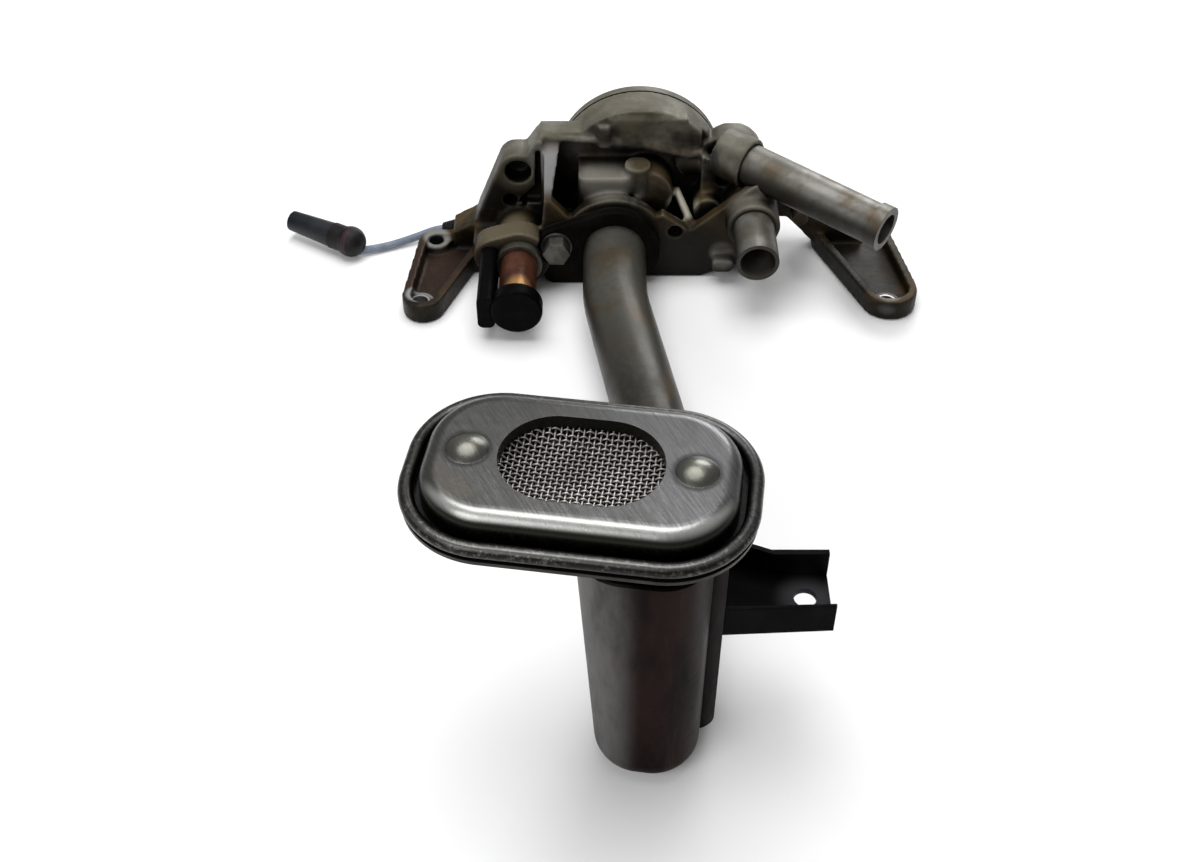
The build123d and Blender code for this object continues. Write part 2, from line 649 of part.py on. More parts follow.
def strainer_pan():
    """The pressed lid: a raised pan with a window, inside a rolled rim."""
    pan = raised(rounded(PAN_INSET), GROOVE_Z, STRAINER_TOP)
    pan = fillet(pan.faces().sort_by(Axis.Z)[-1].edges(), PAN_ROUND)
    inner = raised(rounded(PAN_INSET + SHEET), GROOVE_Z, STRAINER_TOP - SHEET)
    inner = fillet(inner.faces().sort_by(Axis.Z)[-1].edges(), PAN_ROUND - SHEET)
    pan -= inner
    window = SlotCenterToCenter(2 * (WINDOW_HX - WINDOW_HY), 2 * WINDOW_HY)
    lip = SlotCenterToCenter(2 * (WINDOW_HX - WINDOW_HY), 2 * (WINDOW_HY + SHEET))
    pan += raised(lip, STRAINER_TOP - SCREEN_DROP, STRAINER_TOP)
    pan -= raised(window, STRAINER_TOP - SCREEN_DROP, STRAINER_TOP)
    for x in (-DIMPLE_PITCH / 2, DIMPLE_PITCH / 2):
        ball_r = (DIMPLE_R ** 2 + DIMPLE_H ** 2) / (2 * DIMPLE_H)
        ball = Pos(x, 0, STRAINER_TOP + DIMPLE_H - ball_r) * Sphere(ball_r)
        pan += ball & Pos(x, 0, STRAINER_TOP + 5 - SHEET) * Box(4 * DIMPLE_R, 4 * DIMPLE_R, 10)
    flange = raised(rounded(BEAD_R) - rounded(PAN_INSET), GROOVE_Z, GROOVE_Z + SHEET)
    skirt = raised(rounded(BEAD_R) - rounded(BEAD_R + SHEET), GROOVE_Z, RIM_Z)
    return pan + flange + skirt + bead(0, BEAD_R, RIM_Z)


def strainer_base():
    """The deeper tray under the lid, open to the riser."""
    depth_z = GROOVE_Z - BASE_DEPTH
    tray = raised(rounded(PAN_INSET), depth_z, GROOVE_Z)
    tray = fillet(tray.faces().sort_by(Axis.Z)[0].edges(), PAN_ROUND)
    hollow = raised(rounded(PAN_INSET + SHEET), depth_z + SHEET, GROOVE_Z)
    hollow = fillet(hollow.faces().sort_by(Axis.Z)[0].edges(), PAN_ROUND - SHEET)
    tray += raised(rounded(0.6), GROOVE_Z - SHEET, GROOVE_Z)
    tray -= hollow
    mouth = Pos(RISER_TOP_X, RISER_Y) * riser_section(RISER_WALL, RISER_TOP_W)
    return tray - raised(mouth, depth_z, depth_z + SHEET)


def strainer_screen():
    """Two layers of straight wires that lie across each other in a frame."""
    top = STRAINER_TOP - SCREEN_DROP
    frame_hx = WINDOW_HX + 3
    frame_hy = WINDOW_HY + 3
    frame = SlotCenterToCenter(2 * (frame_hx - frame_hy), 2 * frame_hy)
    frame -= SlotCenterToCenter(2 * (WINDOW_HX - WINDOW_HY), 2 * (WINDOW_HY + 1))
    pieces = [raised(frame, top - 2 * SCREEN_WIRE, top)]
    count_x = int(WINDOW_HX / SCREEN_PITCH)
    for k in range(-count_x, count_x + 1):
        x = k * SCREEN_PITCH
        over = max(abs(x) - (WINDOW_HX - WINDOW_HY), 0)
        half = (max((WINDOW_HY + 1) ** 2 - over ** 2, 1)) ** 0.5
        pieces.append(raised(Pos(x, 0) * Rectangle(SCREEN_WIRE, 2 * half), top - SCREEN_WIRE, top))
    count_y = int(WINDOW_HY / SCREEN_PITCH)
    for k in range(-count_y, count_y + 1):
        y = k * SCREEN_PITCH
        half = WINDOW_HX - WINDOW_HY + ((WINDOW_HY + 1) ** 2 - y ** 2) ** 0.5
        wire = Pos(0, y) * Rectangle(2 * half, SCREEN_WIRE)
        pieces.append(raised(wire, top - 2 * SCREEN_WIRE, top - SCREEN_WIRE))
    return Compound(children=pieces)


def riser_section(inset, width):
    return RectangleRounded(width - 2 * inset, RISER_D - 2 * inset, RISER_CORNER - inset)


def riser_blank(inset, bottom, wider):
    """The riser's tapered body with a rounded foot, drawn in by the inset and wider on its right."""
    foot = Pos(RISER_X + wider / 2, RISER_Y, bottom) * riser_section(inset, RISER_W + wider)
    mouth = Pos(RISER_TOP_X + wider / 2, RISER_Y, RISER_TOP_Z) * riser_section(inset, RISER_TOP_W + wider)
    body = loft([foot, mouth], ruled=True)
    return fillet(body.faces().sort_by(Axis.Z)[0].edges(), RISER_FOOT - inset)


def riser_bore():
    """The round hole for the pickup pipe, in the strainer's own frame."""
    path = pickup_path()
    mouth = Plane(origin=path @ 1, z_dir=path % 1) * Circle(PIPE_R)
    return strainer_place().inverse() * extrude(mouth, amount=14, both=True)


def riser_front_shell():
    """The front pressing, a rounded half tube."""
    front_half = Pos(RISER_X, RISER_Y - 50, 50) * Box(100, 100, 140)
    return (riser_blank(0, 0, 0) - riser_blank(RISER_WALL, RISER_WALL, 0)) & front_half


def riser_rear_shell():
    """The rear pressing, which stands out past the front one and closes on it with a ledge."""
    rear_half = Pos(RISER_X, RISER_Y + 50, 50) * Box(100, 100, 140)
    seam = Pos(RISER_X, RISER_Y + RISER_WALL / 2, 50) * Box(100, RISER_WALL, 140)
    blank = riser_blank(0, 0, RISER_LEDGE)
    shell = (blank - riser_blank(RISER_WALL, RISER_WALL, RISER_LEDGE)) & rear_half
    ledge = (blank - riser_blank(RISER_WALL, RISER_WALL, 0)) & seam
    return shell + ledge - riser_bore()


def support_bracket():
    """A pressed channel that stands out of the riser's side, with a bolt hole near its end."""
    near = BRACKET_Y - BRACKET_W / 2
    far = BRACKET_Y + BRACKET_W / 2
    end = BRACKET_END_X
    web = Polygon((8, near - 2), (end, near), (end, far), (30, far), (8, far + BRACKET_FLARE), align=None)
    inner_near = near - 2.7 + BRACKET_SHEET
    inner_far = far - BRACKET_SHEET
    inner = Polygon(
        (0, inner_near), (end + 12.5, inner_near + 2), (end + 12.5, inner_far), (30.6, inner_far),
        (0, inner_far + BRACKET_FLARE * 1.4),
        align=None,
    )
    channel = raised(web, BRACKET_Z, BRACKET_Z + BRACKET_H)
    channel -= raised(inner, BRACKET_Z + BRACKET_SHEET, BRACKET_Z + BRACKET_H)
    channel -= upright(BRACKET_HOLE_X, BRACKET_Y, BRACKET_HOLE_R, BRACKET_Z, BRACKET_Z + BRACKET_SHEET)
    return channel - strainer_place() * riser_blank(0, 0, RISER_LEDGE)


def outlet_way():
    return Vector(*OUTLET_DIR).normalized()


def outlet_pipe():
    start = Vector(*OUTLET_ROOT) - outlet_way() * OUTLET_SEAT_L
    length = OUTLET_SEAT_L + OUTLET_L
    section = along(start, outlet_way()) * (Circle(OUTLET_R) - Circle(OUTLET_R - OUTLET_WALL))
    pipe = extrude(section, amount=length, dir=outlet_way())
    rim = along(start + outlet_way() * (length - 5), outlet_way())
    return pipe + extrude(rim * (Circle(OUTLET_R + 0.8) - Circle(OUTLET_R - 0.5)), amount=5, dir=outlet_way())


def return_stub():
    """The short pipe, with a thinner end that sits in the housing up to its shoulder."""
    tube = rod(STUB_X, STUB_Z, STUB_R, STUB_END_Y, STUB_FACE_Y)
    tube += rod(STUB_X, STUB_Z, STUB_R - STUB_STEP, STUB_FACE_Y, STUB_SEAT_Y)
    return tube - rod(STUB_X, STUB_Z, STUB_R - STUB_WALL, STUB_END_Y, STUB_SEAT_Y)


def solenoid_can():
    front = VALVE_FRONT_Y - CAN_L
    can = rod(VALVE_X, VALVE_Z, CAN_R, front, VALVE_FRONT_Y)
    can -= rod(VALVE_X, VALVE_Z, CAN_R - CAN_WALL, front, VALVE_FRONT_Y - 3)
    can -= rod(VALVE_X, VALVE_Z, PLUNGER_R + RUN_GAP, front, VALVE_FRONT_Y)
    return can


def valve_collar():
    front = VALVE_FRONT_Y - COLLAR_T
    return slab(Pos(VALVE_X, VALVE_Z) * (Circle(COLLAR_R) - Circle(CAN_R)), front, VALVE_FRONT_Y)


def solenoid_coil():
    front = VALVE_FRONT_Y - CAN_L + 1
    coil = rod(VALVE_X, VALVE_Z, CAN_R - CAN_WALL, front, VALVE_FRONT_Y - 3)
    return coil - rod(VALVE_X, VALVE_Z, PLUNGER_R + RUN_GAP, front, VALVE_FRONT_Y - 3)


def solenoid_plunger():
    start = VALVE_FRONT_Y - CAN_L + 4
    return rod(VALVE_X, VALVE_Z, PLUNGER_R, start, start + PLUNGER_L)


def solenoid_cap():
    back = VALVE_FRONT_Y - CAN_L + 1
    cap = rod(VALVE_X, VALVE_Z, CAP_R, back - CAP_L, back)
    cap = fillet(cap.edges().sort_by(Axis.Y)[0], 1.2)
    return cap - rod(VALVE_X, VALVE_Z, CAN_R, back - 1, back)


def solenoid_connector():
    """The moulded block beside the can, which carries its wires to the housing."""
    section = Pos(VALVE_X - CAP_R - 1.8, VALVE_Z - 1) * RectangleRounded(7, 15, 2.5)
    block = slab(section, VALVE_FRONT_Y - CAN_L - 4, VALVE_FRONT_Y)
    return block - rod(VALVE_X, VALVE_Z, CAP_R + 0.2, VALVE_FRONT_Y - CAN_L - CAP_L, VALVE_FRONT_Y)


def control_piston():
    end = VALVE_FRONT_Y + 4
    piston = rod(VALVE_X, VALVE_Z, PISTON_R, end, end + PISTON_L)
    return piston - rod(VALVE_X, VALVE_Z, PISTON_R - 1.6, end + 3, end + PISTON_L)


def control_spring():
    """A coil of straight runs, with a six-sided wire."""
    start = VALVE_FRONT_Y + 4 + PISTON_L
    length = VALVE_BORE_END_Y - start - 2 * SPRING_WIRE
    turns = 12 * SPRING_COILS
    points = []
    for k in range(turns + 1):
        angle = 2 * pi * SPRING_COILS * k / turns
        run = start + SPRING_WIRE + length * k / turns
        points.append((VALVE_X + SPRING_R * cos(angle), run, VALVE_Z + SPRING_R * sin(angle)))
    path = Polyline(*points)
    section = along(path @ 0, path % 0) * RegularPolygon(SPRING_WIRE, 6)
    return sweep(section, path=path, transition=Transition.RIGHT)


def lead_path():
    corners = [Vector(*q) for q in LEAD_ROUTE]
    radii = []
    for a, b, c in zip(corners, corners[1:], corners[2:]):
        turn = radians((b - a).get_angle(c - b))
        radii.append(0.45 * min((b - a).length, (c - b).length) / tan(turn / 2))
    print("lead radii", [round(r, 1) for r in radii])
    return FilletPolyline(*corners, radius=radii)


def lead():
    path = lead_path()
    return sweep(Plane(origin=path @ 0, z_dir=path % 0) * Circle(LEAD_R), path=path)


def lead_grommet():
    """The rubber sleeve that is pressed into the housing where the lead comes out."""
    seat = along(lead_exit() - lead_way() * GROMMET_SEAT, lead_way())
    nose = along(lead_exit(), lead_way())
    sleeve = extrude(seat * Circle(GROMMET_R), amount=GROMMET_SEAT)
    collar = loft([nose * Circle(GROMMET_R + GROMMET_LIP), nose.offset(GROMMET_L) * Circle(LEAD_R + 0.8)])
    return sleeve + collar - extrude(nose * Circle(LEAD_R), amount=GROMMET_L + 1)


def lead_exit():
    return Vector(*LEAD_ROUTE[0])


def lead_way():
    return (Vector(*LEAD_ROUTE[1]) - lead_exit()).normalized()


def boot_centre():
    """The middle of the rubber elbow, level with the plug's axis."""
    end = Vector(*LEAD_ROUTE[-1])
    return Vector(end.X - 3, end.Y + 1.2, PLUG_Z)


def plug_way():
    return Vector(PLUG_NOSE[0] - boot_centre().X, PLUG_NOSE[1] - boot_centre().Y, 0).normalized()


def lead_boot():
    """The rubber elbow that turns the lead into its plug."""
    ball = Pos(*boot_centre()) * Sphere(BOOT_R)
    neck = extrude(along(boot_centre(), plug_way()) * Circle(PLUG_R + SEAT_GAP), amount=BOOT_L)
    path = lead_path()
    return ball + neck - sweep(Plane(origin=path @ 0, z_dir=path % 0) * Circle(LEAD_R), path=path)


def lead_plug():
    start = along(boot_centre() + plug_way() * BOOT_L, plug_way())
    socket = start.offset(PLUG_L / 2) * Circle(PLUG_NOSE_R - PLUG_WALL)
    body = loft([start * Circle(PLUG_R), start.offset(PLUG_L) * Circle(PLUG_NOSE_R)])
    return body - extrude(socket, amount=PLUG_L / 2)


def foot_sleeves():
    sleeves = []
    for x in (left_foot(), right_foot()):
        ring = Circle(FOOT_HOLE_R + SLEEVE_WALL) - Circle(FOOT_HOLE_R)
        sleeves.append(raised(Pos(x, 0) * ring, 0, FOOT_PAD_T))
    return Compound(children=sleeves)


def main():
    place = strainer_place()
    parts = {
        "pump_housing": housing(),
        "outer_rotor": outer_rotor(),
        "inner_rotor": inner_rotor(),
        "pump_cover": pump_cover(),
        "cover_bolts": cover_bolts(),
        "front_bush": bush(SHAFT_FRONT_Y, FLOOR_Y),
        "rear_bush": bush(JOINT_Y, JOINT_Y + COVER_T + REAR_BOSS_L),
        "drive_shaft": drive_shaft(),
        "drive_sprocket": drive_sprocket(),
        "sprocket_bolt": sprocket_bolt(),
        "pipe_flange": pipe_flange(),
        "flange_gasket": flange_gasket(),
        "flange_bolt": flange_bolt(),
        "pickup_pipe": pickup_pipe(),
        "strainer_pan": place * strainer_pan(),
        "strainer_base": place * strainer_base(),
        "strainer_screen": place * strainer_screen(),
        "riser_front_shell": place * riser_front_shell(),
        "riser_rear_shell": place * riser_rear_shell(),
        "support_bracket": support_bracket(),
        "outlet_pipe": outlet_pipe(),
        "return_stub": return_stub(),
        "solenoid_can": solenoid_can(),
        "valve_collar": valve_collar(),
        "solenoid_coil": solenoid_coil(),
        "solenoid_plunger": solenoid_plunger(),
        "solenoid_cap": solenoid_cap(),
        "solenoid_connector": solenoid_connector(),
        "control_piston": control_piston(),
        "control_spring": control_spring(),
        "lead": lead(),
        "lead_grommet": lead_grommet(),
        "lead_boot": lead_boot(),
        "lead_plug": lead_plug(),
        "foot_sleeves": foot_sleeves(),
    }
    os.makedirs("parts", exist_ok=True)
    for name, shape in parts.items():
        export_step(shape, f"parts/{name}.step")


main()
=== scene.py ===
import json
import math

import bmesh
import bpy
from mathutils import Matrix, Vector


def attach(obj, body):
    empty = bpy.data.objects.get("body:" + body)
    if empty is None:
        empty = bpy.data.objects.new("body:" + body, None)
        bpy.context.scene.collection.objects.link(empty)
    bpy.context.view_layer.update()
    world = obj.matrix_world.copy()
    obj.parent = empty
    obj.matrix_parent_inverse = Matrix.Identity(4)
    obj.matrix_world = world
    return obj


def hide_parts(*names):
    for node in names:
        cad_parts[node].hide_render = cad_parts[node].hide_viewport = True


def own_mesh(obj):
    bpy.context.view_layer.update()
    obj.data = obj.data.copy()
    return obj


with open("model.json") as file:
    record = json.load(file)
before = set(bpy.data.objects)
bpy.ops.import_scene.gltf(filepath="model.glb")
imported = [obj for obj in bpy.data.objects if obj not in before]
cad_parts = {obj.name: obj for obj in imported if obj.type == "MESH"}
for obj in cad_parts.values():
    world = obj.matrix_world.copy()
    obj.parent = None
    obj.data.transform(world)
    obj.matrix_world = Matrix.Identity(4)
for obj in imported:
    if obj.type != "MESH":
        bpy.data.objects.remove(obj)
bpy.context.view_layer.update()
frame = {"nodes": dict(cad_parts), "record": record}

# An engine oil pump with its pickup, lying with the sump side up. Metres, in the part's own frame.

MM = 0.001
NODES = frame["nodes"]

# The strainer's place and the sizes that the detailed pieces share with it
STRAINER_X = -27.0 * MM
STRAINER_Y = -199.5 * MM
STRAINER_TURN = math.radians(-8.3)
SCREEN_TOP = 108.0 * MM
SCREEN_DISH = 2.6 * MM
WINDOW_HX = 22.9 * MM
WINDOW_HY = 16.3 * MM
LID_TOP = 112.0 * MM
DIMPLE_REACH = 31.4 * MM
GROOVE_TOP = 108.5 * MM
GROOVE_BOTTOM = 104.8 * MM

# The woven wire, drawn thinner than the height of its waves so that crossing wires stay apart
WIRE_PITCH = 1.62 * MM
WIRE_R = 0.36 * MM
WIRE_DRAWN_R = WIRE_R * 0.86
WIRE_STEPS = 4
SCREEN_TUCK = 1.2 * MM
SCREEN_DROP = 0.5 * MM

# The mesh that rounds the casting's edges: its fineness, and how often it is smoothed
CAST_VOXEL = 0.75 * MM
CAST_ROUNDS = 6

# The lead's route, as laid on the floor
LEAD_DIAMETER = 3.4 * MM
LEAD_ROUTE = (
    (-85.2, 48.5, 7.0),
    (-93.0, 49.8, 5.2),
    (-101.0, 47.8, 2.8),
    (-110.0, 43.8, 1.8),
    (-118.5, 40.2, 1.7),
    (-126.5, 37.4, 2.4),
)
BOOT_CENTRE = Vector((-129.5, 38.6, 6.6)) * MM
PLUG_NOSE = Vector((-158.0, 54.5, 6.6)) * MM
PLUG_WAY = (PLUG_NOSE - BOOT_CENTRE).normalized()

# The photograph's camera, and the floor
CAMERA_PLACE = (-22.0 * MM, -486.5 * MM, 400.0 * MM)
CAMERA_TILT = math.radians(46)
CAMERA_LENS = 45.27
LAMP_TARGET = Vector((-0.01, -0.09, 0.05))
FLOOR_HALF = 4.0
FLOOR_DROP = 0.3 * MM


def strainer_place():
    return Matrix.Translation((STRAINER_X, STRAINER_Y, 0)) @ Matrix.Rotation(STRAINER_TURN, 4, "Z")


def dimple(side):
    """The place of one of the lid's two dimples, in millimetres."""
    return strainer_place() @ Vector((side * DIMPLE_REACH, 0, LID_TOP)) / MM


DIMPLES = (dimple(-1), dimple(1))


# Node tools for the materials

class Surface:
    """One procedural material, built up node by node on a Principled shader."""

    def __init__(self, name):
        self.material = bpy.data.materials.new(name)
        self.material.use_nodes = True
        self.tree = self.material.node_tree
        self.shader = self.tree.nodes["Principled BSDF"]
        places = self.tree.nodes.new("ShaderNodeTexCoord")
        self.coords = places.outputs["Object"]
        self.normals = places.outputs["Normal"]

    def node(self, kind, **settings):
        made = self.tree.nodes.new(kind)
        for key, value in settings.items():
            setattr(made, key, value)
        return made

    def feed(self, socket, value):
        """Links a socket to a node's output, or sets it to a plain value."""
        if isinstance(value, bpy.types.NodeSocket):
            self.tree.links.new(value, socket)
        elif hasattr(value, "__len__") and len(value) == 3 and len(socket.default_value) == 4:
            socket.default_value = (*value, 1.0)
        else:
            socket.default_value = value

    def mapped(self, stretch, turn):
        made = self.node("ShaderNodeMapping", vector_type="TEXTURE")
        self.feed(made.inputs["Vector"], self.coords)
        made.inputs["Scale"].default_value = [1 / share for share in stretch]
        made.inputs["Rotation"].default_value = (0, 0, turn)
        return made.outputs["Vector"]

    def noise(self, scale, detail, rough, stretch=None, turn=0.0, distortion=0.0):
        made = self.node("ShaderNodeTexNoise")
        self.feed(made.inputs["Vector"], self.coords if stretch is None else self.mapped(stretch, turn))
        made.inputs["Scale"].default_value = scale
        made.inputs["Detail"].default_value = detail
        made.inputs["Roughness"].default_value = rough
        made.inputs["Distortion"].default_value = distortion
        return made.outputs["Fac"]

    def band(self, value, low, high, to_low=0.0, to_high=1.0):
        """Maps a value from one span to another, clamped and eased."""
        made = self.node("ShaderNodeMapRange", interpolation_type="SMOOTHSTEP")
        self.feed(made.inputs["Value"], value)
        for key, number in (("From Min", low), ("From Max", high), ("To Min", to_low), ("To Max", to_high)):
            self.feed(made.inputs[key], number)
        return made.outputs["Result"]

    def maths(self, operation, a, b):
        made = self.node("ShaderNodeMath", operation=operation)
        self.feed(made.inputs[0], a)
        self.feed(made.inputs[1], b)
        return made.outputs["Value"]

    def mix(self, share, a, b):
        made = self.node("ShaderNodeMix", data_type="RGBA")
        self.feed(made.inputs[0], share)
        self.feed(made.inputs[6], a)
        self.feed(made.inputs[7], b)
        return made.outputs[2]

    def across(self, axis):
        """One coordinate of the point, in metres."""
        made = self.node("ShaderNodeSeparateXYZ")
        self.feed(made.inputs[0], self.coords)
        return made.outputs[axis]

    def facing(self, axis):
        """One component of the surface's own direction: 1 where it faces along the axis."""
        made = self.node("ShaderNodeSeparateXYZ")
        self.feed(made.inputs[0], self.normals)
        return made.outputs[axis]

    def near(self, point, inside, outside):
        """1 within a distance of a point given in millimetres, 0 beyond another."""
        made = self.node("ShaderNodeVectorMath", operation="DISTANCE")
        self.feed(made.inputs[0], self.coords)
        made.inputs[1].default_value = Vector(point) * MM
        return self.band(made.outputs["Value"], outside * MM, inside * MM)

    def past(self, point, way):
        """How far the surface lies past a point along a direction, in metres."""
        shifted = self.node("ShaderNodeVectorMath", operation="SUBTRACT")
        self.feed(shifted.inputs[0], self.coords)
        shifted.inputs[1].default_value = point
        made = self.node("ShaderNodeVectorMath", operation="DOT_PRODUCT")
        self.feed(made.inputs[0], shifted.outputs["Vector"])
        made.inputs[1].default_value = way
        return made.outputs["Value"]

    def crevice(self, reach):
        """1 in the open, towards 0 in corners and hollows."""
        made = self.node("ShaderNodeAmbientOcclusion", samples=6)
        made.inputs["Distance"].default_value = reach
        return made.outputs["AO"]

    def edges(self, low, high):
        """1 on ridges of a dense mesh, 0 elsewhere."""
        return self.band(self.node("ShaderNodeNewGeometry").outputs["Pointiness"], low, high)

    def bump(self, heights, round_edges=None):
        """Bumps from pairs of height and depth in metres, over an optional rounding of sharp edges."""
        normal = None
        if round_edges:
            bevel = self.node("ShaderNodeBevel", samples=4)
            bevel.inputs["Radius"].default_value = round_edges
            normal = bevel.outputs["Normal"]
        for height, depth in heights:
            made = self.node("ShaderNodeBump")
            made.inputs["Distance"].default_value = depth
            self.feed(made.inputs["Height"], height)
            if normal is not None:
                self.feed(made.inputs["Normal"], normal)
            normal = made.outputs["Normal"]
        self.feed(self.shader.inputs["Normal"], normal)

    def finish(self, color, metallic, roughness, shine=0.5):
        self.feed(self.shader.inputs["Base Color"], color)
        self.feed(self.shader.inputs["Metallic"], metallic)
        self.feed(self.shader.inputs["Roughness"], roughness)
        self.feed(self.shader.inputs["Specular IOR Level"], shine)
        return self.material


def cast_metal(edge_wear_and_highlight=True):
    """Old cast aluminium: grey higher up and darker towards the bottom, with brown stains and soot, painted
    shade on faces turned from the top and in corners and hollows, and paler ridges, part wear and part
    painted highlight.
    """
    s = Surface("cast_alloy")
    patches = s.noise(70, 5, 0.6)
    grain = s.noise(1500, 3, 0.7)
    pits = s.noise(420, 2, 0.5)
    # Paler higher up and darker towards the bottom, blended by height
    pale_tone = s.mix(s.band(patches, 0.35, 0.7), (0.082, 0.077, 0.057), (0.150, 0.145, 0.120))
    dark_tone = s.mix(s.band(s.noise(90, 4, 0.6), 0.4, 0.65), (0.005, 0.004, 0.002), (0.034, 0.024, 0.010))
    wander = s.maths("MULTIPLY", s.maths("SUBTRACT", s.noise(45, 4, 0.6, distortion=0.4), 0.5), 60 * MM)
    height = s.maths("ADD", s.across("Z"), wander)
    color = s.mix(s.band(height, 34 * MM, 50 * MM), dark_tone, pale_tone)
    stain = s.band(s.noise(33, 3, 0.5, stretch=(1, 1, 0.35), distortion=0.7), 0.50, 0.62, 0, 0.75)
    stain = s.maths("MULTIPLY", stain, s.band(s.across("Z"), 58 * MM, 44 * MM, 0.25, 1))
    color = s.mix(stain, color, (0.066, 0.040, 0.014))
    # Soot patches, kept to faces turned from the top: part soot, part painted shade
    soot_and_side_shade = s.band(s.noise(31, 4, 0.6, distortion=0.5), 0.42, 0.66, 0, 0.9)
    soot_and_side_shade = s.maths("MULTIPLY", soot_and_side_shade, s.band(s.facing("Z"), 0.95, 0.45))
    color = s.mix(soot_and_side_shade, color, (0.005, 0.004, 0.0025))
    for place, inside, outside, share, shade in TINT_AND_PAINTED_LIGHT_SPOTS:
        color = s.mix(s.maths("MULTIPLY", s.near(place, inside, outside), share), color, shade)
    # Painted shade on faces turned sideways and down, then in corners and hollows
    color = s.mix(s.band(s.facing("Z"), 0.35, -0.45, 0, 0.75), color, (0.006, 0.005, 0.003))
    color = s.mix(s.band(s.crevice(13 * MM), 0.85, 0.35), color, (0.002, 0.0018, 0.001))
    # Paler ridges, more on high ones: part wear, part painted highlight
    if edge_wear_and_highlight:
        paler_part = s.maths("MULTIPLY", s.edges(0.505, 0.60), s.band(height, 5 * MM, 45 * MM, 0.12, 0.6))
        color = s.mix(paler_part, color, (0.19, 0.18, 0.155))
    s.bump([(grain, 0.12 * MM), (pits, 0.20 * MM)])
    return s.finish(color, 0.12, s.band(patches, 0.3, 0.7, 0.52, 0.38), shine=0.12)


def satin_steel(name, pale, dark, stain, rough, metallic=0.6, round_edges=0.4 * MM, hollow_shade=0.85, scale=60):
    """Drawn or turned metal that has aged in oil, with painted shade in its hollows."""
    s = Surface(name)
    patches = s.noise(scale, 5, 0.6)
    specks = s.noise(scale * 9, 3, 0.6)
    color = s.mix(s.band(patches, 0.35, 0.68), dark, pale)
    color = s.mix(s.band(s.noise(scale * 0.55, 3, 0.6, distortion=0.5), 0.52, 0.70, 0, 0.8), color, stain)
    color = s.mix(s.band(specks, 0.60, 0.72, 0, 0.5), color, stain)
    # Painted shade in hollows
    hollow = s.band(s.crevice(8 * MM), 0.85, 0.35, 0, hollow_shade)
    color = s.mix(hollow, color, (0.004, 0.0035, 0.003))
    s.bump([(s.noise(1300, 2, 0.6), 0.03 * MM), (specks, 0.05 * MM)], round_edges)
    return s.finish(color, metallic, s.band(patches, 0.3, 0.7, rough + 0.08, rough - 0.05))


def pipe_steel():
    """The pipes: satin grey-olive, the suction pipe oilier than the outlet and the stub, with painted shade
    on faces turned from the top and in hollows.
    """
    s = Surface("pipe_steel")
    patches = s.noise(55, 5, 0.6)
    fine = s.noise(420, 4, 0.65)
    near_flange = s.band(s.across("Y"), -95 * MM, -5 * MM)
    dark_tone = s.mix(near_flange, (0.020, 0.019, 0.015), (0.074, 0.072, 0.060))
    dark_tone = s.mix(s.band(fine, 0.40, 0.70, 0, 0.5), dark_tone, (0.050, 0.046, 0.036))
    pale_tone = s.mix(s.band(patches, 0.35, 0.68), (0.080, 0.074, 0.058), (0.165, 0.160, 0.146))
    color = s.mix(s.band(s.across("X"), 24 * MM, 38 * MM), dark_tone, pale_tone)
    warm = s.band(s.noise(48, 3, 0.6, distortion=0.6), 0.50, 0.64, 0, 0.7)
    color = s.mix(warm, color, (0.064, 0.042, 0.020))
    # Painted shade on faces turned from the top, then in hollows
    color = s.mix(s.band(s.facing("Z"), 0.80, 0.15, 0, 0.85), color, (0.012, 0.010, 0.007))
    color = s.mix(s.band(s.crevice(11 * MM), 0.80, 0.30), color, (0.004, 0.003, 0.002))
    s.bump([(fine, 0.04 * MM), (s.noise(1100, 2, 0.6), 0.03 * MM)], 0.4 * MM)
    return s.finish(color, 0.35, s.band(patches, 0.3, 0.7, 0.48, 0.34), shine=0.3)


